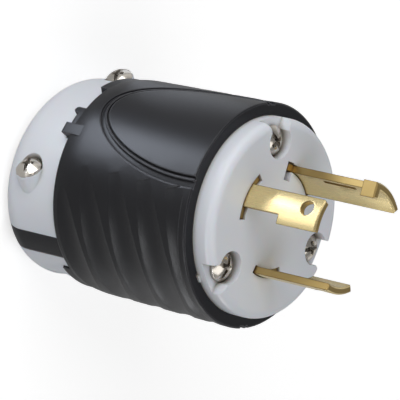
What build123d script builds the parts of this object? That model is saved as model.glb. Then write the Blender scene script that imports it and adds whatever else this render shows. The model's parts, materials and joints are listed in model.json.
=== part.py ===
from build123d import *
import os
from math import cos, degrees, radians, sin, sqrt

# A three-blade twist-lock power plug, standing on its cord end.
# Units are millimetres. The axis is +Z, the origin is the centre of the cord end,
# -Y faces the moulded oval panel and the heads of the clamp screws.

os.makedirs("parts", exist_ok=True)

# Lengths along the axis, from the cord end to the blade tips
clamp_length = 17.2
shell_length = 38.3
face_proud = 5.0
blade_reach = 20.0
ground_reach = 24.2

# Black nylon shell
rim_radius = 25.0
shell_taper = 0.7
shoulder_drop = 0.6
shoulder_length = 5.0
shell_wall = 3.8
rear_wall = 3.0
rim_bevel = 0.3
cord_window_margin = 2.0

# Oval panel with its double groove, on both flat sides of the shell
oval_half_width = 15.5
oval_top_margin = 2.5
oval_rear_margin = 4.3
outer_groove_width = 1.2
inner_groove_width = 0.5
groove_ridge = 0.4
groove_depth = 0.6

# Finger grip scallops, on both gripping sides of the shell
scallop_count = 5
scallop_pitch = 8.5
first_scallop_offset = 3.95
scallop_depth = 0.75
crest_width = 0.9
scallop_tilt = 22.0
scallop_sweep_inset = 1.3
scallop_half_arc = 52.0
rim_collar = 1.9

# White nylon face
face_margin = 2.9
face_thickness = 7.5
face_rounding = 2.0
face_web = 2.6
face_pocket_radius = 4.7
mouth_gap = 0.12
key_width = 1.6
key_height = 0.5
key_root = 1.0
key_slot_margin = 0.6
key_drop = 1.8
key_rise = 0.4

# Three screws that hold face, terminal block and shell together
face_screw_inset = 5.0
face_screw_angles = [0, 120, 240]
face_screw_sink = 3.0
face_screw_length = 24.0
face_head_radius = 3.4
face_head_height = 2.4
face_shank_radius = 1.75
face_slot_turn = 35.0
counterbore_radius = 3.7
notch_half_width = 2.9
notch_lip_radius = 4.5
notch_start = 1.5
boss_radius = 3.8
boss_tail = 4.0
boss_web_width = 4.8
boss_web_root = 1.0
thread_gap = 0.05
pass_gap = 0.25

# Blades, as angles about the axis: leading edge, end of the neck, end of the hook
blade_inner_radius = 11.07
blade_thickness = 1.6
tip_bevel = 0.35
line_angles = (283.8, 308.5, 318.0)
neutral_angles = (28.5, 59.5, 69.9)
ground_angles = (173.5, 212.2, 220.5)
hook_length = 10.4
blade_hole_radius = 1.65
blade_hole_drop = 3.7
ground_hook_length = 3.8
ground_leg_reach = 1.97
rib_angle = 204.0
rib_start = 7.5
rib_length = 8.6
rib_width = 0.9
rib_depth = 0.6
blade_gap = 0.15

# The slots they pass through: clearance before and after each blade, in degrees
line_slot = (12.3, 3.2)
neutral_slot = (1.2, 1.2)
ground_slot = (2.0, 1.0)
foot_sink = 0.5
shoulder_spread = 2.5
shoulder_height = 2.2

# Terminal block, behind the face
flange_thickness = 4.0
core_margin = 4.4
core_depth = 19.0
pocket_width = 8.4
pocket_height = 11.5
pocket_depth = 4.07
pocket_drop = 4.5
wire_hole_radius = 2.1
block_boss_gap = 0.3

# Terminals
tang_width = 10.2
tang_drop = 3.0
plate_width = 8.0
plate_height = 9.0
plate_thickness = 1.2
terminal_screw_drop = 10.2
terminal_head_radius = 3.0
terminal_head_height = 2.3
terminal_shank_radius = 1.75
terminal_screw_length = 6.0

# Screw heads and points, as shares of the head's or the shank's own sizes
point_share = 0.4
brim_share = 0.35
dome_share = 0.6
slot_width_share = 0.28
slot_depth_share = 0.45
cross_width_share = 0.34
cross_reach_share = 0.55
cross_depth_share = 0.6

# Cord clamp, an oval body in two white halves either side of the shell's tongues
clamp_step = 0.3
clamp_flatness = 1.9
clamp_end_rounding = 6.0
cord_radius = 9.5
cord_lead_in = 0.8
grip_rib_count = 3
grip_rib_pitch = 3.2
grip_rib_height = 0.9
first_grip_rib = 6.4
clamp_front_gap = 0.1
half_gap = 0.5
tongue_width = 5.4
tongue_screw_margin = 3.8
tongue_gap = 0.15
tongue_end = 0.6
tongue_root = 1.0

# Two clamp screws with square nuts
clamp_screw_inset = 6.6
clamp_screw_height = 8.8
clamp_seat_inset = 5.9
clamp_screw_end = 1.2
clamp_head_radius = 3.0
clamp_head_height = 1.9
clamp_shank_radius = 1.6
clamp_slot_turn = 20.0
clamp_pad_radius = 3.2
nut_width = 6.0
nut_thickness = 2.6
nut_bevel = 0.3
nut_seat = 7.6
nut_gap = 0.15

# Keys at the rear edge of the shell: angles, reach over the clamp, bite into it
key_bite = 0.4
tab_angles = (195.0, 257.0)
tab_reach = 2.2
pointer_angle = 278.4
pointer_width = 1.6
pointer_reach = 2.6
web_reach = 1.2
stop_angles = (288.0, 294.3)
stop_reach = 2.1
stop_proud = 0.5
rear_key_gap = 0.15

# Rubber dust shield between shell and clamp
shield_lip = 2.1
shield_thickness = 1.6
shield_gap = 0.15
shield_hole_radius = 3.4
shield_slits = 6
shield_first_slit = 30.0
shield_slit_width = 0.6
shield_slit_length = 4.6

# How far a cutter runs on past the face that it cuts
overrun = 1.0

# Heights and radii that follow from the sizes above
shell_rear_z = clamp_length
rim_z = shell_rear_z + shell_length
face_z = rim_z + face_proud
face_back_z = face_z - face_thickness
flange_back_z = face_back_z - flange_thickness
core_back_z = flange_back_z - core_depth
waist_radius = rim_radius - shell_taper
shell_edge_radius = waist_radius - shoulder_drop
shell_bore_radius = rim_radius - shell_wall
face_radius = rim_radius - face_margin
mouth_radius = face_radius + mouth_gap
face_screw_circle = face_radius - face_screw_inset
core_radius = shell_bore_radius - core_margin
oval_half_length = shell_length - oval_top_margin - oval_rear_margin
scallop_sweep_radius = rim_radius - scallop_sweep_inset
blade_outer_radius = blade_inner_radius + blade_thickness
ground_leg_radius = blade_inner_radius - ground_leg_reach
pocket_inner_radius = blade_inner_radius - pocket_depth
pocket_top_z = flange_back_z - pocket_drop
pocket_back_z = pocket_top_z - pocket_height
tang_end_z = pocket_back_z - tang_drop / 2
terminal_z = flange_back_z - terminal_screw_drop
head_seat_z = face_z - face_screw_sink
face_screw_tip_z = head_seat_z - face_screw_length
clamp_half_width = shell_edge_radius - clamp_step
clamp_half_depth = clamp_half_width - clamp_flatness
clamp_screw_offset = clamp_half_width - clamp_screw_inset
clamp_seat = clamp_half_depth - clamp_seat_inset
clamp_screw_length = clamp_seat + nut_seat + nut_thickness + clamp_screw_end
cord_window_radius = cord_radius + cord_window_margin
shield_radius = cord_window_radius + shield_lip
tongue_inner_radius = clamp_screw_offset - tongue_screw_margin
key_inner_radius = clamp_half_depth - key_bite
far = 2 * rim_radius
blades = {
    "line": (line_angles, line_slot),
    "neutral": (neutral_angles, neutral_slot),
    "ground": (ground_angles, ground_slot),
}


def turned(points_and_curves):
    """Revolve a closed outline, drawn as radius and height, about the axis."""
    return revolve(Plane.XZ * make_face(points_and_curves), Axis.Z)


def ring_sector(inner, outer, start, end, low, high):
    """A piece of a ring between two angles and two heights."""
    outline = make_face(Polyline((inner, low), (outer, low), (outer, high), (inner, high), close=True))
    return Rot(0, 0, start) * revolve(Plane.XZ * outline, Axis.Z, revolution_arc=end - start)


def block(x_range, y_range, z_range):
    """A box given by its limits on each axis."""
    size = [high - low for low, high in (x_range, y_range, z_range)]
    middle = [(high + low) / 2 for low, high in (x_range, y_range, z_range)]
    return Pos(*middle) * Box(*size)


def peg(radius, low, high):
    """A plain cylinder on the axis between two heights."""
    return Pos(0, 0, low) * Cylinder(radius, high - low, align=(Align.CENTER, Align.CENTER, Align.MIN))


def at_angle(piece, radius, angle):
    """Move a piece out from the axis and round it."""
    return Rot(0, 0, angle) * Pos(radius, 0, 0) * piece


def shell_form(inset, extra=0):
    """The outer form of the shell, drawn in by a depth or run on past its rim."""
    waist = (waist_radius - inset, shell_rear_z + shoulder_length)
    edge = (shell_edge_radius - inset, shell_rear_z)
    slope = (rim_radius - waist_radius) / (rim_z - waist[1])
    rim = (rim_radius - inset + slope * extra, rim_z + extra)
    shoulder = TangentArc(waist, edge, tangent=(-slope, -1))
    walls = Line(edge, (0, shell_rear_z)) + Line((0, shell_rear_z), (0, rim[1]))
    walls += Line((0, rim[1]), rim) + Line(rim, waist)
    return turned(walls + shoulder)


def clamp_form():
    """The whole oval, rounded cord end before it is split into halves and tongues."""
    body = extrude(Ellipse(clamp_half_width, clamp_half_depth), amount=shell_rear_z)
    return fillet(body.edges().group_by(Axis.Z)[0], clamp_end_rounding)


def oval_groove(inset, width):
    """One line of the oval border, ready to be cut into the -Y side."""
    half_width, half_length = oval_half_width - inset, oval_half_length - inset
    ring = Ellipse(half_width, half_length) - Ellipse(half_width - width, half_length - width)
    cutter = extrude(Plane.XZ * Pos(0, rim_z - oval_top_margin) * ring, amount=rim_radius + groove_depth)
    return cutter - shell_form(groove_depth)


def grip_scallop(height):
    """One scallop cutter for the +X side, deepest there and sinking as it goes round."""
    rise = (height - shell_rear_z) / shell_length
    floor = waist_radius + (rim_radius - waist_radius) * rise - scallop_depth
    half_cut = (scallop_pitch - crest_width) / 2
    section = (half_cut ** 2 + scallop_depth ** 2) / (2 * scallop_depth)
    lean = radians(scallop_tilt)
    outward = Vector(cos(lean), 0, sin(lean))
    sweep = scallop_sweep_radius + section
    pivot = Vector(floor + section, 0, height) - outward * sweep
    ring = Torus(sweep, section, major_angle=2 * scallop_half_arc, align=None)
    place = Plane(origin=pivot, x_dir=outward, z_dir=Vector(-sin(lean), 0, cos(lean)))
    return place * Rot(0, 0, -scallop_half_arc) * ring


def gripped_form():
    """The outer form with both scalloped grips and the plain collar at the rim."""
    body = shell_form(0, scallop_pitch)
    for turn in (0, 180):
        for index in range(scallop_count):
            height = shell_rear_z + first_scallop_offset + index * scallop_pitch
            body -= Rot(0, 0, turn) * grip_scallop(height)
    wide = (-far, far)
    collar = shell_form(0) & block(wide, wide, (rim_z - rim_collar, rim_z))
    collar = chamfer(collar.edges().group_by(Axis.Z)[-1], rim_bevel)
    return (body & block(wide, wide, (0, rim_z - rim_collar))) + collar


def rear_keys(gap):
    """The tab, pointer and stop that reach back over the clamp, grown by a gap."""
    top = shell_rear_z + rear_wall
    side = degrees(gap / key_inner_radius)
    inner, outer = key_inner_radius - gap, shell_edge_radius + gap
    tab = ring_sector(inner, outer, tab_angles[0] - side, tab_angles[1] + side,
                      shell_rear_z - tab_reach - gap, top)
    web = ring_sector(inner, outer, pointer_angle, stop_angles[1] + side,
                      shell_rear_z - web_reach - gap, top)
    stop = ring_sector(inner, outer + stop_proud, stop_angles[0] - side, stop_angles[1] + side,
                       shell_rear_z - stop_reach - gap, top)
    half = pointer_width / 2 + gap
    tip = shell_rear_z - pointer_reach + pointer_width / 2
    pointer = block((inner, outer), (-half, half), (tip, top))
    pointer += Pos(inner, 0, tip) * Rot(0, 90, 0) * peg(half, 0, outer - inner)
    one_side = tab + web + stop + Rot(0, 0, pointer_angle) * pointer
    return one_side + Rot(0, 0, 180) * one_side


def shell_tongues():
    """Two flat bands of the shell that run back between the clamp halves."""
    half = tongue_width / 2
    bands = block((tongue_inner_radius, far), (-half, half), (tongue_end, shell_rear_z))
    bands += block((-far, -tongue_inner_radius), (-half, half), (tongue_end, shell_rear_z))
    bands = bands & clamp_form()
    for side in (-1, 1):
        bands -= Pos(side * clamp_screw_offset, -tongue_width, clamp_screw_height) * Rot(-90, 0, 0) * peg(
            clamp_shank_radius + pass_gap, 0, 2 * tongue_width)
    root_start = shield_radius + 2 * shield_gap
    root = block((root_start, key_inner_radius), (-half, half), (shell_rear_z, shell_rear_z + tongue_root))
    return bands + root + Rot(0, 0, 180) * root


def make_shell():
    body = gripped_form()
    body -= peg(mouth_radius, flange_back_z, rim_z + overrun)
    body -= peg(shell_bore_radius, shell_rear_z + rear_wall, rim_z)
    body -= peg(cord_window_radius, 0, rim_z)
    body -= peg(shield_radius + shield_gap, 0, shell_rear_z + shield_thickness + shield_gap)
    low = face_screw_tip_z - boss_tail
    half = boss_web_width / 2
    web = block((face_screw_circle, shell_bore_radius + boss_web_root), (-half, half), (low, flange_back_z))
    thread = peg(face_shank_radius + thread_gap, face_screw_tip_z - overrun, rim_z)
    for angle in face_screw_angles:
        boss = at_angle(peg(boss_radius, low, flange_back_z), face_screw_circle, angle)
        body += boss + Rot(0, 0, angle) * web
        body -= at_angle(thread, face_screw_circle, angle)
    inner_line = outer_groove_width + groove_ridge
    for turn in (0, 180):
        body -= Rot(0, 0, turn) * oval_groove(0, outer_groove_width)
        body -= Rot(0, 0, turn) * oval_groove(inner_line, inner_groove_width)
    half = key_width / 2
    body -= block((face_radius - key_root, face_radius + key_height + mouth_gap),
                  (-half - key_slot_margin, half + mouth_gap),
                  (rim_z - key_drop - mouth_gap, rim_z + overrun))
    return body + rear_keys(0) + shell_tongues()


def notch_form(height):
    """The trumpet-mouthed recess that lets a screw head sit below the face."""
    flare = notch_start + notch_lip_radius
    wide = notch_half_width + notch_lip_radius
    bend = notch_lip_radius * (1 - sqrt(0.5))
    lips = []
    for side in (-1, 1):
        turn_point = (notch_start + notch_lip_radius * sqrt(0.5), side * (notch_half_width + bend))
        lips.append(ThreePointArc((notch_start, side * notch_half_width), turn_point, (flare, side * wide)))
    inner = Line((0, -notch_half_width), (notch_start, -notch_half_width))
    outer = Line((0, notch_half_width), (notch_start, notch_half_width))
    outline = inner + outer + lips[0] + lips[1]
    outline += Line((flare, -wide), (flare, wide)) + Line((0, -notch_half_width), (0, notch_half_width))
    mouth = extrude(make_face(outline), amount=height)
    return mouth + peg(counterbore_radius, 0, height)


def foot_sector(blade, grow, low, high, gap):
    """The ring sector of a blade's slot, wider by an angle and fatter by a gap."""
    angles, slot = blade
    turn = grow + degrees(gap / blade_inner_radius)
    return ring_sector(blade_inner_radius - gap, blade_outer_radius + gap, angles[0] - slot[0] - turn,
                       angles[2] + slot[1] + turn, low, high)


def shoulder_pocket(blade, gap):
    """The wide shoulder of a blade between face and terminal block, grown by a gap."""
    return foot_sector(blade, shoulder_spread, face_back_z - shoulder_height - gap, face_back_z, gap)


def ground_leg(low, high, gap):
    """The inward leg on the ground blade's hook, grown by a gap."""
    half = blade_thickness / 2 + gap
    leg = block((ground_leg_radius - gap, blade_outer_radius + gap), (-half, half), (low, high))
    return Rot(0, 0, ground_angles[2]) * leg


def make_face_piece():
    body = peg(face_radius, face_back_z, face_z)
    body = fillet(body.edges().group_by(Axis.Z)[-1], face_rounding)
    half = key_width / 2
    body += block((face_radius - key_root, face_radius + key_height), (-half, half),
                  (rim_z - key_drop, rim_z + key_rise))
    back, front = face_back_z - overrun, face_z + overrun
    for angle in face_screw_angles:
        body -= at_angle(Pos(0, 0, head_seat_z) * notch_form(face_thickness), face_screw_circle, angle)
        body -= at_angle(peg(face_shank_radius + pass_gap, back, face_z), face_screw_circle, angle)
    for blade in blades.values():
        body -= foot_sector(blade, 0, back, front, blade_gap)
    body -= ground_leg(back, front, 2 * blade_gap)
    return body - peg(face_pocket_radius, back, face_z - face_web)


def tang_middle(angles):
    return (angles[0] + angles[2]) / 2


def tang_form(gap):
    """The flat tang behind a blade, on the +X side, grown by a gap."""
    half = tang_width / 2 + gap
    return block((blade_inner_radius - gap, blade_outer_radius + gap), (-half, half),
                 (tang_end_z - gap, face_back_z - shoulder_height / 2))


def make_blade(blade, reach, hook, with_hole):
    """A blade on its foot and shoulder: neck, hook at the tip and, on two of them, a hole."""
    angles = blade[0]
    base_z, tip_z = face_back_z - shoulder_height, face_z + reach
    body = ring_sector(blade_inner_radius, blade_outer_radius, angles[0], angles[1], base_z, tip_z)
    body += ring_sector(blade_inner_radius, blade_outer_radius, angles[0], angles[2], tip_z - hook, tip_z)
    if with_hole:
        hole = Rot(0, 90, 0) * peg(blade_hole_radius, 0, rim_radius)
        middle = (angles[0] + angles[1]) / 2
        body -= Rot(0, 0, middle) * Pos(0, 0, tip_z - blade_hole_drop) * hole
    return body + foot_sector(blade, 0, base_z, face_z - foot_sink, 0) + shoulder_pocket(blade, 0)


def finish_blade(body, angles):
    """Bevel the tip, add the tang and tap it for the terminal screw."""
    body = chamfer(body.edges().group_by(Axis.Z)[-1], tip_bevel)
    middle = tang_middle(angles)
    body += Rot(0, 0, middle) * tang_form(0)
    thread = Rot(0, 90, 0) * peg(terminal_shank_radius + thread_gap, 0, rim_radius)
    return body - Rot(0, 0, middle) * Pos(0, 0, terminal_z) * thread


def make_plain_blade(name):
    return finish_blade(make_blade(blades[name], blade_reach, hook_length, True), blades[name][0])


def make_ground_blade():
    body = make_blade(blades["ground"], ground_reach, ground_hook_length, False)
    tip_z = face_z + ground_reach
    body += ground_leg(tip_z - ground_hook_length, tip_z, 0)
    low, half = face_z + rib_start, rib_width / 2
    groove = block((blade_inner_radius - overrun, blade_inner_radius + rib_depth), (-half, half),
                   (low, low + rib_length))
    return finish_blade(body - Rot(0, 0, rib_angle) * groove, ground_angles)


def make_terminal_block():
    flange = peg(face_radius - mouth_gap, flange_back_z, face_back_z)
    body = flange + peg(core_radius, core_back_z, face_back_z)
    for angle in face_screw_angles:
        body -= at_angle(peg(boss_radius + block_boss_gap, core_back_z - overrun, flange_back_z),
                         face_screw_circle, angle)
        body -= at_angle(peg(face_shank_radius + pass_gap, flange_back_z - overrun, face_z),
                         face_screw_circle, angle)
    half = pocket_width / 2
    window = block((pocket_inner_radius, rim_radius), (-half, half), (pocket_back_z, pocket_top_z))
    wire_hole = peg(wire_hole_radius, 0, pocket_back_z + overrun)
    cutter = window + Pos(blade_outer_radius + wire_hole_radius, 0, 0) * wire_hole + tang_form(blade_gap)
    for blade in blades.values():
        body -= Rot(0, 0, tang_middle(blade[0])) * cutter
        body -= shoulder_pocket(blade, blade_gap)
    return body


def make_clamp_plate(angles):
    half = plate_width / 2
    low = terminal_z - plate_height / 2
    plate = block((blade_outer_radius, blade_outer_radius + plate_thickness), (-half, half),
                  (low, low + plate_height))
    plate -= Pos(0, 0, terminal_z) * Rot(0, 90, 0) * peg(terminal_shank_radius + pass_gap, 0, rim_radius)
    return Rot(0, 0, tang_middle(angles)) * plate


def pan_screw(head_radius, head_height, shank_radius, length):
    """A pan-head screw with a combination recess, its head's seat on the XY plane."""
    point = point_share * shank_radius
    brim = brim_share * head_height
    rise = head_height - brim
    curve = (head_radius ** 2 + rise ** 2) / (2 * rise)
    bend = dome_share * head_radius
    outline = Polyline((0, head_height), (0, -length), (shank_radius - point, -length),
                       (shank_radius, -length + point), (shank_radius, 0), (head_radius, 0),
                       (head_radius, brim))
    dome = ThreePointArc((head_radius, brim), (bend, head_height - curve + sqrt(curve ** 2 - bend ** 2)),
                         (0, head_height))
    screw = turned(outline + dome)
    slot = Box(2 * far, slot_width_share * head_radius, 2 * slot_depth_share * head_height)
    cross = Box(cross_width_share * head_radius, 2 * cross_reach_share * head_radius,
                2 * cross_depth_share * head_height)
    return screw - Pos(0, 0, head_height) * slot - Pos(0, 0, head_height) * cross


def make_terminal_screw(angles):
    screw = pan_screw(terminal_head_radius, terminal_head_height, terminal_shank_radius,
                      terminal_screw_length)
    seat = blade_outer_radius + plate_thickness
    return Rot(0, 0, tang_middle(angles)) * Pos(seat, 0, terminal_z) * Rot(0, 90, 0) * screw


def make_face_screw(angle):
    screw = pan_screw(face_head_radius, face_head_height, face_shank_radius, face_screw_length)
    turned_slot = Pos(0, 0, head_seat_z) * Rot(0, 0, face_slot_turn) * screw
    return at_angle(turned_slot, face_screw_circle, angle)


def clamp_side(side):
    """All the space that one clamp half may fill, less the slots for the tongues."""
    half_slot = tongue_width / 2 + tongue_gap
    slot = block((tongue_inner_radius - tongue_gap, far), (-half_slot, half_slot), (-overrun, far))
    space = block((-far, far), (half_gap / 2, far), (0, shell_rear_z - clamp_front_gap))
    space -= slot + Rot(0, 0, 180) * slot
    return space if side > 0 else Rot(0, 0, 180) * space


def cord_way():
    """The hole for the cord, with its lead-in and its gripping ribs."""
    way = peg(cord_radius, -overrun, far)
    low_end = (Align.CENTER, Align.CENTER, Align.MIN)
    way += Cone(cord_radius + cord_lead_in, cord_radius, cord_lead_in, align=low_end)
    root, crest = cord_radius + grip_rib_height, cord_radius - grip_rib_height
    for index in range(grip_rib_count):
        middle = first_grip_rib + index * grip_rib_pitch
        low, high = middle - grip_rib_height, middle + grip_rib_height
        way -= turned(Polyline((root, low), (crest, middle), (root, high), close=True))
    return way


def make_clamp_half(side):
    """One white half; side -1 carries the screw heads and side 1 the nuts."""
    body = clamp_form()
    wide = nut_width / 2 + nut_gap
    hole = peg(clamp_shank_radius + pass_gap, -far, far)
    if side < 0:
        hole += peg(clamp_pad_radius, clamp_seat, far)
    else:
        hole += block((-wide, wide), (-wide, wide), (-far, -nut_seat))
    for offset in (-clamp_screw_offset, clamp_screw_offset):
        place = Pos(offset, 0, clamp_screw_height) * Rot(90, 0, 0)
        if side < 0:
            body += place * peg(clamp_pad_radius, 0, clamp_seat) & peg(rim_radius, 0, shell_rear_z)
        body -= place * hole
    return (body & clamp_side(side)) - cord_way() - rear_keys(rear_key_gap)


def make_clamp_screw(offset):
    screw = pan_screw(clamp_head_radius, clamp_head_height, clamp_shank_radius, clamp_screw_length)
    return Pos(offset, -clamp_seat, clamp_screw_height) * Rot(90, 0, 0) * Rot(0, 0, clamp_slot_turn) * screw


def make_clamp_nut(offset):
    nut = Box(nut_width, nut_width, nut_thickness, align=(Align.CENTER, Align.CENTER, Align.MAX))
    nut = chamfer(nut.edges().group_by(Axis.Z)[0], nut_bevel)
    nut -= peg(clamp_shank_radius + thread_gap, -2 * nut_thickness, nut_thickness)
    return Pos(offset, nut_seat, clamp_screw_height) * Rot(90, 0, 0) * nut


def make_dust_shield():
    disc = peg(shield_radius, shell_rear_z, shell_rear_z + shield_thickness)
    disc -= peg(shield_hole_radius, 0, rim_z)
    for index in range(shield_slits):
        slit = block((shield_hole_radius - overrun, shield_hole_radius + shield_slit_length),
                     (-shield_slit_width / 2, shield_slit_width / 2), (0, rim_z))
        disc -= Rot(0, 0, shield_first_slit + index * 360 / shield_slits) * slit
    return disc


def build():
    """Every piece by its name."""
    pieces = {
        "shell": make_shell(),
        "front_face": make_face_piece(),
        "terminal_block": make_terminal_block(),
        "line_blade": make_plain_blade("line"),
        "neutral_blade": make_plain_blade("neutral"),
        "ground_blade": make_ground_blade(),
        "cord_clamp_head_half": make_clamp_half(-1),
        "cord_clamp_nut_half": make_clamp_half(1),
        "dust_shield": make_dust_shield(),
    }
    for name, blade in blades.items():
        pieces[name + "_clamp_plate"] = make_clamp_plate(blade[0])
        pieces[name + "_terminal_screw"] = make_terminal_screw(blade[0])
    for number, angle in enumerate(face_screw_angles, 1):
        pieces[f"face_screw_{number}"] = make_face_screw(angle)
    for number, offset in enumerate((-clamp_screw_offset, clamp_screw_offset), 1):
        pieces[f"clamp_screw_{number}"] = make_clamp_screw(offset)
        pieces[f"clamp_nut_{number}"] = make_clamp_nut(offset)
    return pieces


for node, piece in build().items():
    export_step(piece, f"parts/{node}.step")
    print(node, "solids", len(piece.solids()), "volume", round(piece.volume, 1))
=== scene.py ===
# %% [markdown]
# A locking power plug, dressed for the camera. The solid model arrives finished, so this lesson is about
# surfaces: moulded nylon, stamped brass and plated screws. The first step loads that model as a fixed
# frame and notes the box it fills, because nothing that is added later may leave that box by much.

# %% Load the frame
import json
from math import cos, pi, radians, sin

import bpy
from mathutils import Matrix, Quaternion, Vector


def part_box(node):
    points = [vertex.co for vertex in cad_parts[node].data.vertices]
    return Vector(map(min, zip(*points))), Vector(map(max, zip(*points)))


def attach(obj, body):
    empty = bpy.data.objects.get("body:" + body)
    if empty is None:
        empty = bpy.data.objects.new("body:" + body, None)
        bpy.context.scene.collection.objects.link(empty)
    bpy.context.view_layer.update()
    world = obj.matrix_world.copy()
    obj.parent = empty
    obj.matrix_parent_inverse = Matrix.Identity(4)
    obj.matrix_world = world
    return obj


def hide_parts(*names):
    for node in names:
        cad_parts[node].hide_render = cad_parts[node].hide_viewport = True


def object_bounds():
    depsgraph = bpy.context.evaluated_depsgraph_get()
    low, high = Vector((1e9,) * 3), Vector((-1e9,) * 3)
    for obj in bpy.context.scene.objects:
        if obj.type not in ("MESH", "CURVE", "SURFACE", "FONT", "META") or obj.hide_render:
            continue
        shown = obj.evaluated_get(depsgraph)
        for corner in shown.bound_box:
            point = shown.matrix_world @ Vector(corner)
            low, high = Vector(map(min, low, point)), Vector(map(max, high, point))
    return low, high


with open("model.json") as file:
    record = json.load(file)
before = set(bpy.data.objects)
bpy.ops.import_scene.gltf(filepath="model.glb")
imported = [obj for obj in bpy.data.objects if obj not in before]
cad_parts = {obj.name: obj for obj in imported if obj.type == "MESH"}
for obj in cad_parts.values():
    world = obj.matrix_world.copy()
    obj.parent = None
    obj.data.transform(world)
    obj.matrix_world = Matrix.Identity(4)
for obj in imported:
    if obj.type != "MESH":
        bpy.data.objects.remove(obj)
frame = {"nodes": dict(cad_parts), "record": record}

MM = 0.001
scene = bpy.context.scene
scene.view_settings.view_transform = "Standard"
cad_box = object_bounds()
nodes = frame["nodes"]
print("nodes", len(nodes), "box in mm", [round(v / MM, 1) for corner in cad_box for v in corner])

# %% [markdown]
# The camera stands where the photographer's did. Four facts fix it: its place, the point on the plug's
# axis that it aims at, how far it is rolled about its own axis, and its lens. The roll is large because the
# plug is drawn standing on its cord end while the photograph shows it lying across the picture. A camera
# could be set by eye, but a plug is mostly circles, and circles show a wrong angle at once.

# %% Camera
camera_place = Vector((511.8, -520.6, 602.4)) * MM
camera_aim = Vector((-0.4, -0.4, 39.1)) * MM
camera_roll = radians(102.84)
camera_lens = 378.4


def object_with(name, data):
    """A new object in the scene that shows the given data."""
    made = bpy.data.objects.new(name, data)
    scene.collection.objects.link(made)
    return made


def stand(made, place, facing, roll=0.0):
    """Put an object somewhere, facing along a vector and rolled about it."""
    made.location = place
    made.rotation_mode = "QUATERNION"
    made.rotation_quaternion = facing.to_track_quat("-Z", "Y") @ Quaternion((0, 0, 1), roll)


camera_data = bpy.data.cameras.new("camera")
camera_data.lens = camera_lens
camera_data.sensor_width = 36
camera_data.clip_start, camera_data.clip_end = 0.01, 20
camera = object_with("camera", camera_data)
stand(camera, camera_place, camera_aim - camera_place, camera_roll)
scene.camera = camera
print("camera distance in mm", round((camera_place - camera_aim).length / MM))

# %% [markdown]
# Every material in this file is a tree of nodes. Trees could be wired socket by socket, but then a simple
# sum takes five lines and hides what it is for. These helpers start a tree, set or link an input, and add
# a sum or a range whose inputs may be numbers or other nodes' outputs, so that a sum reads as one line.

# %% Helpers for node trees
def node_material(name):
    """A new material with an empty tree and its output."""
    material = bpy.data.materials.new(name)
    material.use_nodes = True
    tree = material.node_tree
    tree.nodes.clear()
    return material, tree, tree.nodes.new("ShaderNodeOutputMaterial")


def feed(tree, socket, value):
    """Link a socket to an output, or set it to a plain value."""
    if isinstance(value, bpy.types.NodeSocket):
        tree.links.new(value, socket)
    else:
        socket.default_value = value


def calculate(tree, operation, *values):
    """A Math node's result."""
    node = tree.nodes.new("ShaderNodeMath")
    node.operation = operation
    for socket, value in zip(node.inputs, values):
        feed(tree, socket, value)
    return node.outputs[0]


def spread(tree, value, low_in, high_in, low_out, high_out):
    """A value carried from one range to another, and held at the ends."""
    node = tree.nodes.new("ShaderNodeMapRange")
    labels = ("Value", "From Min", "From Max", "To Min", "To Max")
    for label, given in zip(labels, (value, low_in, high_in, low_out, high_out)):
        feed(tree, node.inputs[label], given)
    return node.outputs["Result"]


def seen_directly(tree):
    """One for rays from the eye, from mirrors and through glass, and nothing for the rest."""
    paths = tree.nodes.new("ShaderNodeLightPath").outputs
    mirrors = calculate(tree, "MAXIMUM", paths["Is Glossy Ray"], paths["Is Transmission Ray"])
    return calculate(tree, "MAXIMUM", paths["Is Camera Ray"], mirrors)


print("helpers", *(made.__name__ for made in (node_material, feed, calculate, spread, seen_directly)))

# %% [markdown]
# Product photographs of this kind are taken on a white sweep. A floor of white paint would do, but the light
# that makes it white would burn out the pale nylon. So this floor is pale grey and glows where the eye sees
# it: it is white behind the plug and still holds its shadow. Mirrors see it much darker, since a black shell
# that mirrored a white floor would look grey.

# %% Floor
floor_half_width = 3.0
floor_colour = (0.7, 0.7, 0.7, 1)
glow_for_eye, glow_for_mirrors = 0.63, 0.08
signs = ((-1, -1), (1, -1), (1, 1), (-1, 1))
corners = [(x * floor_half_width, y * floor_half_width, 0) for x, y in signs]
floor_mesh = bpy.data.meshes.new("floor")
floor_mesh.from_pydata(corners, [], [(0, 1, 2, 3)])
floor = object_with("floor", floor_mesh)

floor_material, tree, output = node_material("white_sweep")
matt = tree.nodes.new("ShaderNodeBsdfDiffuse")
matt.inputs["Color"].default_value = floor_colour
glow = tree.nodes.new("ShaderNodeEmission")
eye = tree.nodes.new("ShaderNodeLightPath").outputs["Is Camera Ray"]
glow_level = spread(tree, eye, 0, 1, glow_for_mirrors, glow_for_eye)
feed(tree, glow.inputs["Strength"], calculate(tree, "MULTIPLY", glow_level, seen_directly(tree)))
both = tree.nodes.new("ShaderNodeAddShader")
feed(tree, both.inputs[0], matt.outputs[0])
feed(tree, both.inputs[1], glow.outputs[0])
feed(tree, output.inputs["Surface"], both.outputs[0])
floor_mesh.materials.append(floor_material)
print("floor", floor_half_width * 2, "m wide")

# %% [markdown]
# The world is a white room that grows darker towards its ceiling. Metal needs that: under an even white
# sky brass has nothing to reflect but white and looks like paper, while a darker ceiling gives it an edge.
# The light that the room gives to matt surfaces is a little lower than what mirrors see, so that the lamps
# shape the plug and nothing pale is burnt out.

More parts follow.
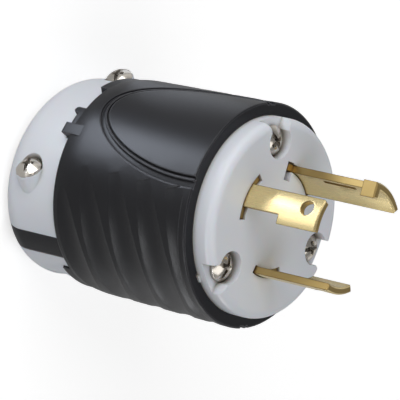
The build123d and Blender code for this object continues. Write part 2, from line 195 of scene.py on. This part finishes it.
# %% World
horizon, ceiling = 0.12, 0.62
ceiling_tone = 0.3
room_light = 0.72
world = bpy.data.worlds.new("world")
scene.world = world
world.use_nodes = True
tree = world.node_tree
tree.nodes.clear()
parts = tree.nodes.new("ShaderNodeSeparateXYZ")
feed(tree, parts.inputs[0], tree.nodes.new("ShaderNodeTexCoord").outputs["Generated"])
room_tone = spread(tree, parts.outputs["Z"], horizon, ceiling, 1.0, ceiling_tone)
level = spread(tree, seen_directly(tree), 0, 1, room_light, 1.0)
sky = tree.nodes.new("ShaderNodeBackground")
feed(tree, sky.inputs["Strength"], calculate(tree, "MULTIPLY", room_tone, level))
feed(tree, tree.nodes.new("ShaderNodeOutputWorld").inputs["Surface"], sky.outputs[0])
print("room tone from 1 at the horizon to", ceiling_tone)

# %% [markdown]
# Two soft boxes light the plug: a key lamp low on the side that the camera sees, and a weaker lamp above.
# Small lamps would draw hard shadows, so both are nearly as wide as they are far away.

# %% Soft boxes
middle = (cad_box[0] + cad_box[1]) / 2
soft_box_width = 0.8


def towards(azimuth, elevation):
    """The unit vector with this azimuth and elevation in degrees."""
    a, e = radians(azimuth), radians(elevation)
    return Vector((cos(a) * cos(e), sin(a) * cos(e), sin(e)))


def lamp(name, place, facing, size, watts, tint=(1, 1, 1)):
    """An area lamp of the given width and height that the camera doesn't see."""
    data = bpy.data.lights.new(name, "AREA")
    data.shape = "RECTANGLE"
    data.size, data.size_y = size
    data.energy = watts
    data.color = tint
    made = object_with(name, data)
    stand(made, place, facing)
    made.visible_camera = False
    return made


soft_boxes = {"key_lamp": (-90, 20, 0.9, 4.7), "top_lamp": (30, 64, 1.0, 2.7)}
for name, (azimuth, elevation, distance, watts) in soft_boxes.items():
    from_middle = towards(azimuth, elevation)
    lamp(name, middle + from_middle * distance, -from_middle, (soft_box_width, soft_box_width), watts)
    print(name, watts, "W")

# %% [markdown]
# A black shell shows almost nothing but what it mirrors, and seen from above its upright wall mirrors the
# floor. So six strips lie on the sweep around the plug, outside the picture, and draw the highlights that
# give the shell its form: one on the oval panel, one beside it on the wall, one on the scalloped grip, and
# two on the crests between the scallops, whose flanks lean upward and so mirror the floor farther off. The
# last brightens the blades. Only reflections show the strips: the camera doesn't see them, and they give no
# light to matt surfaces. More light from above would not do this, because the wall doesn't mirror it.

# %% Strips for reflections
cool, neutral = (0.8, 0.87, 1), (0.96, 0.98, 1)
strip_height = 1
strips = {"oval_strip": (11, -69, (30, 54), 0.044, cool),
          "blade_strip": (48, -98, (64, 42), 0.0145, neutral),
          "side_strip": (-54, -32, (46, 34), 0.0034, cool),
          "grip_strip": (85, 78, (110, 86), 0.008, neutral),
          "crest_strip": (390, 50, (220, 300), 3.2, neutral),
          "low_crest_strip": (160, 172, (180, 60), 0.36, neutral)}
for name, (x, y, (width, depth), watts, tint) in strips.items():
    place = Vector((x, y, strip_height)) * MM
    strip = lamp(name, place, Vector((0, 0, 1)), (width * MM, depth * MM), watts, tint)
    strip.visible_diffuse = False
print("strips", len(strips))

# %% [markdown]
# Effects that several finishes share are node groups, built once with named inputs. The first is a value
# near one that drifts slowly over a piece, as uneven cooling leaves it on a moulding and rolling leaves it
# on sheet. It could be painted by hand, but noise on object coordinates needs no picture and no unwrapping.

# %% Effect groups, and a drift of tone
NUMBER, VECTOR = "NodeSocketFloat", "NodeSocketVector"


def effect_group(name, inputs, outputs):
    """An empty shader group with named number inputs, and outputs of the given kinds."""
    group = bpy.data.node_groups.new(name, "ShaderNodeTree")
    for label, value in inputs.items():
        group.interface.new_socket(label, in_out="INPUT", socket_type=NUMBER).default_value = value
    for label, kind in outputs.items():
        group.interface.new_socket(label, in_out="OUTPUT", socket_type=kind)
    return group, group.nodes.new("NodeGroupInput").outputs, group.nodes.new("NodeGroupOutput").inputs


def noise(tree, scale, detail=2.0, stretch=1):
    """Noise on object coordinates, drawn out along the plug's axis where the stretch is below one."""
    split = tree.nodes.new("ShaderNodeSeparateXYZ")
    feed(tree, split.inputs[0], tree.nodes.new("ShaderNodeTexCoord").outputs["Object"])
    joined = tree.nodes.new("ShaderNodeCombineXYZ")
    feed(tree, joined.inputs["X"], split.outputs["X"])
    feed(tree, joined.inputs["Y"], split.outputs["Y"])
    feed(tree, joined.inputs["Z"], calculate(tree, "MULTIPLY", split.outputs["Z"], stretch))
    node = tree.nodes.new("ShaderNodeTexNoise")
    node.inputs["Detail"].default_value = detail
    feed(tree, node.inputs["Scale"], scale)
    feed(tree, node.inputs["Vector"], joined.outputs[0])
    return node.outputs["Fac"]


tone_drift, given, result = effect_group("tone_drift", {"Patches per metre": 60, "Amount": 0.1},
                                         {"Tone": NUMBER})
from_half = calculate(tone_drift, "SUBTRACT", noise(tone_drift, given["Patches per metre"]), 0.5)
feed(tone_drift, result["Tone"], calculate(tone_drift, "MULTIPLY_ADD", from_half, given["Amount"], 1))
print("group", tone_drift.name, len(tone_drift.nodes), "nodes")

# %% [markdown]
# The second group rounds every edge a little and adds the fine grain of a spark-eroded mould. Real moulded
# and stamped edges are never sharp, and the Bevel node gives them their glint without a single extra face.
# Where the rounded normal has turned away from the true one there is an edge, so the group gives a mask of
# the edges too.

# %% Worked surface
grain_detail, bevel_samples = 3, 6
edge_begins, edge_is_full = 0.994, 0.85


def vector_maths(tree, operation, *values):
    """A Vector Math node's outputs."""
    node = tree.nodes.new("ShaderNodeVectorMath")
    node.operation = operation
    for socket, value in zip(node.inputs, values):
        feed(tree, socket, value)
    return node.outputs


worked_surface, given, result = effect_group(
    "worked_surface",
    {"Edge radius": 0.0002, "Grain per metre": 4000, "Grain depth": 0.00001, "Length stretch": 1},
    {"Normal": VECTOR, "Grain": NUMBER, "Edge": NUMBER})
tree = worked_surface
grain = noise(tree, given["Grain per metre"], grain_detail, given["Length stretch"])
rounded = tree.nodes.new("ShaderNodeBevel")
rounded.samples = bevel_samples
feed(tree, rounded.inputs["Radius"], given["Edge radius"])
bump = tree.nodes.new("ShaderNodeBump")
feed(tree, bump.inputs["Distance"], given["Grain depth"])
feed(tree, bump.inputs["Height"], grain)
feed(tree, bump.inputs["Normal"], rounded.outputs[0])
true_normal = tree.nodes.new("ShaderNodeNewGeometry").outputs["Normal"]
agreement = vector_maths(tree, "DOT_PRODUCT", rounded.outputs[0], true_normal)["Value"]
feed(tree, result["Normal"], bump.outputs[0])
feed(tree, result["Grain"], grain)
feed(tree, result["Edge"], spread(tree, agreement, edge_is_full, edge_begins, 1, 0))
print("group", worked_surface.name, len(worked_surface.nodes), "nodes")

# %% [markdown]
# Blades are cut from sheet. Their broad faces keep the smooth rolled skin, while the cut edges are torn
# and matt, and their colour is darkened too, a painted shade that draws each blade with a thin dark outline.
# All three blades are bent about the plug's own axis, so a face whose normal points along the radius is a
# broad one, and the rest are cuts.
# The faces could be given two materials by hand, but this mask finds them by itself.

# %% Mask for cut faces
surely_broad = 0.75
cut_faces, given, result = effect_group("cut_faces", {"Softness": 0.25}, {"Mask": NUMBER})
place = cut_faces.nodes.new("ShaderNodeTexCoord").outputs
across_axis = vector_maths(cut_faces, "MULTIPLY", place["Object"], (1, 1, 0))[0]
radial = vector_maths(cut_faces, "NORMALIZE", across_axis)[0]
along_radius = vector_maths(cut_faces, "DOT_PRODUCT", radial, place["Normal"])["Value"]
surely_cut = calculate(cut_faces, "SUBTRACT", surely_broad, given["Softness"])
broad = calculate(cut_faces, "ABSOLUTE", along_radius)
feed(cut_faces, result["Mask"], spread(cut_faces, broad, surely_cut, surely_broad, 1, 0))
print("mask", cut_faces.name)

# %% [markdown]
# The last group paints shade into closed-in places: the recess of a screw, the slot round a blade, the
# double line of the oval. The Ambient Occlusion node measures how closed in each point is within a short
# reach, so the painted shade settles by itself and stays right if a piece changes.

# %% Mask for painted shade in recesses
closed_in, open_air, hollow_samples = 0.3, 0.9, 8
recess_shade_mask, given, result = effect_group("recess_shade_mask", {"Reach": 0.0008}, {"Mask": NUMBER})
shade = recess_shade_mask.nodes.new("ShaderNodeAmbientOcclusion")
shade.samples = hollow_samples
feed(recess_shade_mask, shade.inputs["Distance"], given["Reach"])
feed(recess_shade_mask, result["Mask"], spread(recess_shade_mask, shade.outputs["AO"], closed_in, open_air, 1, 0))
print("mask", recess_shade_mask.name)

# %% [markdown]
# Each finish is one Principled shader fed by those groups. One function builds them all, since a moulded,
# a stamped and a plated surface differ only in the values they give: colour, gloss, how coarse the grain
# is and which way it runs. What is the same all over a surface is set straight on the shader's sockets.
# The edge's radius, the grain's depth and the reach of the painted recess shade are in millimetres, and a
# change is a colour and a roughness that a mask brings in. Some changes are painted light: shade in
# recesses and on cut faces, and a highlight or a shade along edges.

# %% How a finish is made
finishes = {}


def group_node(tree, group, **values):
    """A placed group with its inputs set, whose names are written with underscores here."""
    node = tree.nodes.new("ShaderNodeGroup")
    node.node_tree = group
    for label, value in values.items():
        node.inputs[label.replace("_", " ")].default_value = value
    return node.outputs


def mixed(tree, mask, first, second):
    """One colour where the mask is nothing and the other where it is one."""
    node = tree.nodes.new("ShaderNodeMix")
    node.data_type = "RGBA"
    feed(tree, node.inputs[0], mask)
    colours = [socket for socket in node.inputs if socket.type == "RGBA"]
    for socket, value in zip(colours, (first, second)):
        feed(tree, socket, value)
    return next(socket for socket in node.outputs if socket.type == "RGBA")


def finish(name, colour, roughness, metallic=0.0, drift=0.08, edge=0.2, grain=4000, depth=0.01, stretch=1.0,
           gloss_drift=0.1, dull_and_shaded=None, recess_shade=None, recess_shade_reach=0.8, painted_edge_tone=None, **settings):
    """Make a finish. Its changes paint light: a darker and rougher cut face, shade in recesses, and a
    highlight or a shade along edges.
    """
    material, tree, output = node_material(name)
    shader = tree.nodes.new("ShaderNodeBsdfPrincipled")
    shader.inputs["Metallic"].default_value = metallic
    for label, value in settings.items():
        shader.inputs[label.replace("_", " ")].default_value = value
    surface = group_node(tree, worked_surface, Edge_radius=edge * MM, Grain_per_metre=grain,
                         Grain_depth=depth * MM, Length_stretch=stretch)
    tone = group_node(tree, tone_drift, Amount=drift)["Tone"]
    shown = vector_maths(tree, "MULTIPLY", colour, tone)[0]
    from_half = calculate(tree, "SUBTRACT", surface["Grain"], 0.5)
    rough = calculate(tree, "MULTIPLY_ADD", from_half, gloss_drift, roughness)
    changes = []
    # The cut-face mask makes cut faces rougher and paints shade on them with a darker colour.
    if dull_and_shaded:
        changes.append((group_node(tree, cut_faces)["Mask"], dull_and_shaded))
    # Painted shade: the occlusion mask darkens the colour in recesses.
    if recess_shade:
        changes.append((group_node(tree, recess_shade_mask, Reach=recess_shade_reach * MM)["Mask"], recess_shade))
    # Painted edge tone: a highlight or a shade painted along the edges.
    if painted_edge_tone:
        changes.append((surface["Edge"], painted_edge_tone))
    for mask, (new_colour, new_roughness) in changes:
        shown = mixed(tree, mask, shown, (*new_colour, 1))
        rough = spread(tree, mask, 0, 1, rough, new_roughness)
    feed(tree, shader.inputs["Base Color"], shown)
    feed(tree, shader.inputs["Roughness"], rough)
    feed(tree, shader.inputs["Normal"], surface["Normal"])
    feed(tree, output.inputs["Surface"], shader.outputs[0])
    finishes[name] = material
    print("finish", name, len(tree.nodes), "nodes")


# %% [markdown]
# The shell is black nylon with a satin mould finish. Its edges get a painted highlight and its grooves a
# painted shade. The face and the clamp are white nylon with a cool tint. Light enters that nylon and comes
# out a little way off, so it has some subsurface light, which softens its small notches. Its recesses and
# the roots of the blades get a warm brown painted shade. The dust shield is soft, matt rubber.

# %% Nylon and rubber
# Painted shade darkens the grooves, and a painted highlight lightens the edges.
finish("black_nylon", (0.0095, 0.0095, 0.012), 0.36, edge=0.5, grain=3500, depth=0.012, drift=0.3,
       recess_shade=((0.003, 0.003, 0.004), 0.85), painted_edge_tone=((0.075, 0.075, 0.085), 0.3), Specular_IOR_Level=0.28)
# A warm brown painted shade darkens the recesses and the roots of the blades.
finish("white_nylon", (0.78, 0.81, 0.87), 0.42, edge=0.3, grain=3000, depth=0.008, drift=0.03,
       recess_shade=((0.4, 0.36, 0.31), 0.6), recess_shade_reach=1.5, Subsurface_Weight=0.15, Subsurface_Scale=2 * MM)
finish("dust_shield_rubber", (0.025, 0.025, 0.027), 0.72, edge=0.2, grain=5000, depth=0.015)

# %% [markdown]
# The blades are stamped from rolled brass. The rolls leave fine lines along the blade, which the noise
# gives when it is drawn out along the plug's axis. The cut faces are duller and get a darker colour, a
# painted shade. The edges get a dark painted shade too, and the recesses a brown one.

# %% Brass
# Painted shade darkens the cut faces, the recesses and the edges.
finish("brass", (0.81, 0.66, 0.34), 0.26, metallic=1.0, edge=0.35, grain=9000, depth=0.002, stretch=0.04,
       drift=0.16, gloss_drift=0.16, dull_and_shaded=((0.46, 0.33, 0.13), 0.4), recess_shade=((0.3, 0.19, 0.07), 0.5),
       painted_edge_tone=((0.12, 0.07, 0.025), 0.5))

# %% [markdown]
# Screws are plated: nickel where they only hold things together, and brass, nickel or green at the wires.
# Their recesses are the darkest places on the plug, and a painted shade there does most of the work.

# %% Plated screws
# A painted shade darkens each screw's recess.
finish("nickel", (0.62, 0.58, 0.52), 0.2, metallic=1.0, edge=0.08, grain=6000, depth=0.003, drift=0.2,
       recess_shade=((0.05, 0.045, 0.04), 0.6), recess_shade_reach=0.9)
finish("brass_screw", (0.74, 0.58, 0.3), 0.3, metallic=1.0, edge=0.08, recess_shade=((0.12, 0.08, 0.04), 0.6))
finish("green_screw", (0.1, 0.35, 0.17), 0.32, metallic=1.0, edge=0.08, recess_shade=((0.02, 0.06, 0.03), 0.6))

# %% [markdown]
# The frame's record says which slot each solid piece has, and a slot's finish has the slot's name. Giving
# the materials out from that list keeps this file and the record together.

# %% Finishes on the nodes
slots = {row["node"]: row["material_slot"] for row in frame["record"]["subparts"]}
for node, slot in slots.items():
    mesh = nodes[node].data
    mesh.materials.clear()
    mesh.materials.append(finishes[slot])
print("finishes", len(finishes), "on", len(slots), "nodes")

# %% [markdown]
# The screws are the small parts that a close view rests on, and they repeat, so Geometry Nodes make them.
# One tree builds a pan-head screw from its sizes: a domed head, a threaded shank, and a combination recess
# taken out of the head. A screw modifier could make the thread, but not the recess or the repeats. This
# cell gives the tree its named sizes and a few helpers like those above.

# %% Geometry Nodes: sizes of the screw
screw_tree = bpy.data.node_groups.new("pan_head_screws", "GeometryNodeTree")
usual_sizes = {"Head radius": 3.4, "Head height": 2.4, "Shank radius": 1.75, "Length": 24, "Pitch": 0.8,
               "Thread depth": 0.35, "Slot width": 0.95, "Slot depth": 1.05, "Wing reach": 1.9,
               "Wing width": 1.1, "Wing depth": 1.5}
screw_tree.interface.new_socket("Seats", in_out="INPUT", socket_type="NodeSocketGeometry")
for name, value in usual_sizes.items():
    socket = screw_tree.interface.new_socket(name, in_out="INPUT", socket_type=NUMBER)
    socket.subtype = "DISTANCE"
    socket.default_value = value * MM
screw_tree.interface.new_socket("Finish", in_out="INPUT", socket_type="NodeSocketMaterial")
screw_tree.interface.new_socket("Screws", in_out="OUTPUT", socket_type="NodeSocketGeometry")
size = screw_tree.nodes.new("NodeGroupInput").outputs


def maths(operation, *values):
    """A Math node's result in the screw tree."""
    return calculate(screw_tree, operation, *values)


def part(kind, **values):
    """A node of the tree with its inputs given by name, whose spaces are written as underscores."""
    node = screw_tree.nodes.new(kind)
    for label, value in values.items():
        feed(screw_tree, node.inputs[label.replace("_", " ")], value)
    return node


def vector(x, y, z):
    """Three numbers as one vector."""
    return part("ShaderNodeCombineXYZ", X=x, Y=y, Z=z).outputs[0]


def raised(geometry, z):
    """Geometry moved up by a height."""
    return part("GeometryNodeTransform", Geometry=geometry, Translation=vector(0.0, 0.0, z)).outputs[0]


def here():
    """The place of the point being worked on, as three numbers."""
    node = part("ShaderNodeSeparateXYZ")
    feed(screw_tree, node.inputs[0], part("GeometryNodeInputPosition").outputs[0])
    return node.outputs


def cylinder(radius, depth, around, rings, cap_rings):
    """An upright cylinder whose side and caps have rings of points to shape."""
    node = part("GeometryNodeMeshCylinder", Radius=radius, Depth=depth, Vertices=around, Side_Segments=rings,
                Fill_Segments=cap_rings)
    node.fill_type = "TRIANGLE_FAN"
    return node.outputs["Mesh"]


print("screw sizes", len(usual_sizes))

# %% [markdown]
# A pan head has a low straight brim and a dome above it. The head starts as a flat disc with rings on its
# top, and each top point is lifted by less the farther it is from the axis. A sphere cut to height would
# be a dome as well, but this one keeps its height and radius as two free sizes.

# %% Domed head
brim_share, dome_power, head_sides, head_rings = 0.35, 2.3, 64, 10
brim = maths("MULTIPLY", size["Head height"], brim_share)
half_brim = maths("MULTIPLY", brim, 0.5)
disc = raised(cylinder(size["Head radius"], brim, head_sides, 1, head_rings), half_brim)
at = here()
squares = maths("ADD", maths("MULTIPLY", at["X"], at["X"]), maths("MULTIPLY", at["Y"], at["Y"]))
share = maths("POWER", maths("DIVIDE", maths("SQRT", squares), size["Head radius"]), dome_power)
dome_height = maths("MULTIPLY", size["Head height"], 1 - brim_share)
lift = maths("MAXIMUM", maths("MULTIPLY", maths("SUBTRACT", 1, share), dome_height), 0)
on_top = maths("GREATER_THAN", at["Z"], half_brim)
head = part("GeometryNodeSetPosition", Geometry=disc, Selection=on_top, Offset=vector(0, 0, lift)).outputs[0]
print("head", head_sides, "sides and", head_rings, "rings")

# %% [markdown]
# A thread is rolled into the shank, so it follows a helix. How many turns up the helix a point is comes from
# its height and its angle about the axis. That number's fraction, folded in the middle, runs from crest to
# root and back, and pushes the point inward. The last stretch narrows to a blunt point.

# %% Threaded shank
thread_sides, rows_per_turn, into_head, point_length, point_share = 32, 6, 0.3 * MM, 1.2 * MM, 0.6
whole = maths("ADD", size["Length"], into_head)
rows = maths("MULTIPLY", maths("DIVIDE", whole, size["Pitch"]), rows_per_turn)
rod = raised(cylinder(size["Shank radius"], whole, thread_sides, rows, 1),
             maths("SUBTRACT", into_head, maths("MULTIPLY", whole, 0.5)))
at = here()
around = maths("DIVIDE", maths("ARCTAN2", at["Y"], at["X"]), 2 * pi)
turns = maths("SUBTRACT", maths("DIVIDE", at["Z"], size["Pitch"]), around)
folded = maths("ABSOLUTE", maths("MULTIPLY_ADD", maths("FRACT", turns), 2, -1))
cut = maths("MULTIPLY", maths("DIVIDE", size["Thread depth"], size["Shank radius"]), folded)
tip = maths("MULTIPLY", size["Length"], -1)
narrowing = spread(screw_tree, at["Z"], tip, maths("ADD", tip, point_length), point_share, 1)
girth = maths("MULTIPLY", maths("SUBTRACT", 1, cut), narrowing)
threaded = vector(maths("MULTIPLY", at["X"], girth), maths("MULTIPLY", at["Y"], girth), at["Z"])
shank = part("GeometryNodeSetPosition", Geometry=rod, Position=threaded).outputs[0]
print("thread", thread_sides, "sides and", rows_per_turn, "rows to a turn")

# %% [markdown]
# The recess takes a flat driver or a crossed one: a slot right across the head, and two crossed wings that
# narrow as they go down. Each is a block sunk into the head, and exact booleans take them out, which
# leaves clean walls that catch the light as struck metal does.

# %% Combination recess
slot_reach, slot_floor, wing_floor = 2.4, 0.95, 0.4


def cutter(x, y, depth, floor_share):
    """A block sunk into the head's top, whose floor has the given share of its width."""
    block = part("GeometryNodeMeshCube", Size=vector(x, y, maths("MULTIPLY", depth, 2))).outputs["Mesh"]
    at = here()
    scale = maths("MULTIPLY_ADD", maths("DIVIDE", at["Z"], depth), 1 - floor_share, 1)
    tapered = vector(maths("MULTIPLY", at["X"], scale), maths("MULTIPLY", at["Y"], scale), at["Z"])
    shaped = part("GeometryNodeSetPosition", Geometry=block, Position=tapered).outputs[0]
    return raised(shaped, size["Head height"])


def combined(operation, first, others):
    """A Mesh Boolean of one mesh with others."""
    node = screw_tree.nodes.new("GeometryNodeMeshBoolean")
    node.operation = operation
    node.solver = "EXACT"
    if first is not None:
        feed(screw_tree, node.inputs["Mesh 1"], first)
    for other in others:
        screw_tree.links.new(other, node.inputs["Mesh 2"])
    return node.outputs["Mesh"]


across = maths("MULTIPLY", size["Head radius"], slot_reach)
wing_length = maths("MULTIPLY", size["Wing reach"], 2)
recess = [cutter(across, size["Slot width"], size["Slot depth"], slot_floor),
          cutter(wing_length, size["Wing width"], size["Wing depth"], wing_floor),
          cutter(size["Wing width"], wing_length, size["Wing depth"], wing_floor)]
screw = combined("DIFFERENCE", combined("UNION", None, [head, shank]), recess)
print("recess", len(recess), "cutters")

# %% [markdown]
# The tree puts a screw on every vertex of the mesh that it is given. Each vertex is a screw's seat, and its
# "turn" says which way the screw faces. Copies placed one by one would be the same to look at, but here one
# change to the tree changes all eight screws.

# %% A screw on every seat
turn = part("GeometryNodeInputNamedAttribute")
turn.data_type = "FLOAT_VECTOR"
turn.inputs["Name"].default_value = "turn"
turned = part("FunctionNodeEulerToRotation", Euler=turn.outputs["Attribute"]).outputs[0]
copies = part("GeometryNodeInstanceOnPoints", Points=size["Seats"], Instance=screw, Rotation=turned)
real = part("GeometryNodeRealizeInstances", Geometry=copies.outputs[0]).outputs[0]
covered = part("GeometryNodeSetMaterial", Geometry=real, Material=size["Finish"]).outputs[0]
feed(screw_tree, part("NodeGroupOutput").inputs["Screws"], covered)
identifiers = {item.name: item.identifier for item in screw_tree.interface.items_tree
               if item.in_out == "INPUT"}
print("screw tree", len(screw_tree.nodes), "nodes,", len(identifiers), "inputs")

# %% [markdown]
# A seat's place comes from the frame: the box of the solid screw gives its axis, its head's top and its
# point, so the dressed screws can't drift from the solid ones. The tree's mesh is kept and the modifier
# goes, and shading turns sharp only where two faces meet steeply.

# %% How a set of screws is made
sharp_angle = radians(38)


def screw_set(name, slot, node_names, seats, **sizes):
    """Screws made by the tree on the given seats, in place of solid ones. Sizes are in millimetres."""
    points = bpy.data.meshes.new(name)
    points.from_pydata([place for place, rotation in seats], [], [])
    turn_values = points.attributes.new("turn", "FLOAT_VECTOR", "POINT")
    for value, (place, rotation) in zip(turn_values.data, seats):
        value.vector = rotation.to_euler()
    made = object_with(name, points)
    modifier = made.modifiers.new("screws", "NODES")
    modifier.node_group = screw_tree
    for label, value in sizes.items():
        modifier[identifiers[label.replace("_", " ")]] = value * MM
    modifier[identifiers["Finish"]] = finishes[slot]
    evaluated = made.evaluated_get(bpy.context.evaluated_depsgraph_get())
    made.data = bpy.data.meshes.new_from_object(evaluated)
    made.modifiers.clear()
    made.data.shade_smooth()
    made.data.set_sharp_from_angle(angle=sharp_angle)
    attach(made, "root")
    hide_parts(*node_names)
    print(name, len(seats), "screws,", sum(len(p.vertices) - 2 for p in made.data.polygons), "triangles")
    return made


def about(axis, degrees):
    """A turn about one axis."""
    return Matrix.Rotation(radians(degrees), 3, axis)


# %% [markdown]
# Three long nickel screws hold the face to the shell. They stand in the trumpet-shaped notches, a third of
# a turn apart, so their slots are turned by a third as well.

# %% Face screws
face_head_height, face_slot_turn, face_step = 2.4 * MM, 35, 120
face_names = ["face_screw_1", "face_screw_2", "face_screw_3"]
face_seats = []
for index, node in enumerate(face_names):
    low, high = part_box(node)
    centre = (low + high) / 2
    face_seats.append((Vector((centre.x, centre.y, high.z - face_head_height)),
                       about("Z", face_slot_turn + face_step * index)))
low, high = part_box(face_names[0])
screw_set("face_screws", "nickel", face_names, face_seats, Head_radius=(high.x - low.x) / 2 / MM,
          Head_height=face_head_height / MM, Length=(high.z - low.z - face_head_height) / MM)

# %% [markdown]
# Two nickel screws draw the clamp halves together on the cord. Their heads lie in the nearer half and face
# sideways, so the upright screw of the tree is laid over. They are a size smaller than the face screws.

# %% Clamp screws
clamp_head_height, clamp_slot_turn, clamp_shank_radius = 1.9 * MM, 20, 1.6
clamp_names = ["clamp_screw_1", "clamp_screw_2"]
clamp_seats = []
for node in clamp_names:
    low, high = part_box(node)
    centre = (low + high) / 2
    clamp_seats.append((Vector((centre.x, low.y + clamp_head_height, centre.z)),
                        about("X", 90) @ about("Z", clamp_slot_turn)))
screw_set("clamp_screws", "nickel", clamp_names, clamp_seats, Head_radius=(high.z - low.z) / 2 / MM,
          Head_height=clamp_head_height / MM, Shank_radius=clamp_shank_radius, Thread_depth=0.3,
          Length=(high.y - low.y - clamp_head_height) / MM, Slot_depth=0.85, Slot_width=0.85, Wing_depth=1.2,
          Wing_reach=1.65, Wing_width=1.0)

# %% [markdown]
# One screw presses each wire into its terminal. They point at the plug's axis at three angles, and brass,
# nickel and green tell the wires apart.

# %% Terminal screws
terminal_head_height, terminal_seat, terminal_length = 2.3 * MM, 13.87 * MM, 6
for wire, angle, slot in (("line", 300.9, "brass_screw"), ("neutral", 49.2, "nickel"),
                          ("ground", 197.0, "green_screw")):
    node = wire + "_terminal_screw"
    low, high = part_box(node)
    outward = towards(angle, 0)
    seat = outward * terminal_seat + Vector((0, 0, (low.z + high.z) / 2))
    made = screw_set(wire + "_terminal", slot, [node], [(seat, about("Z", angle) @ about("Y", 90))],
                     Head_radius=(high.z - low.z) / 2 / MM, Head_height=terminal_head_height / MM,
                     Length=terminal_length)
    reach = max((vertex.co @ outward) for vertex in made.data.vertices)
    print("   outermost point in mm", round(reach / MM, 2))
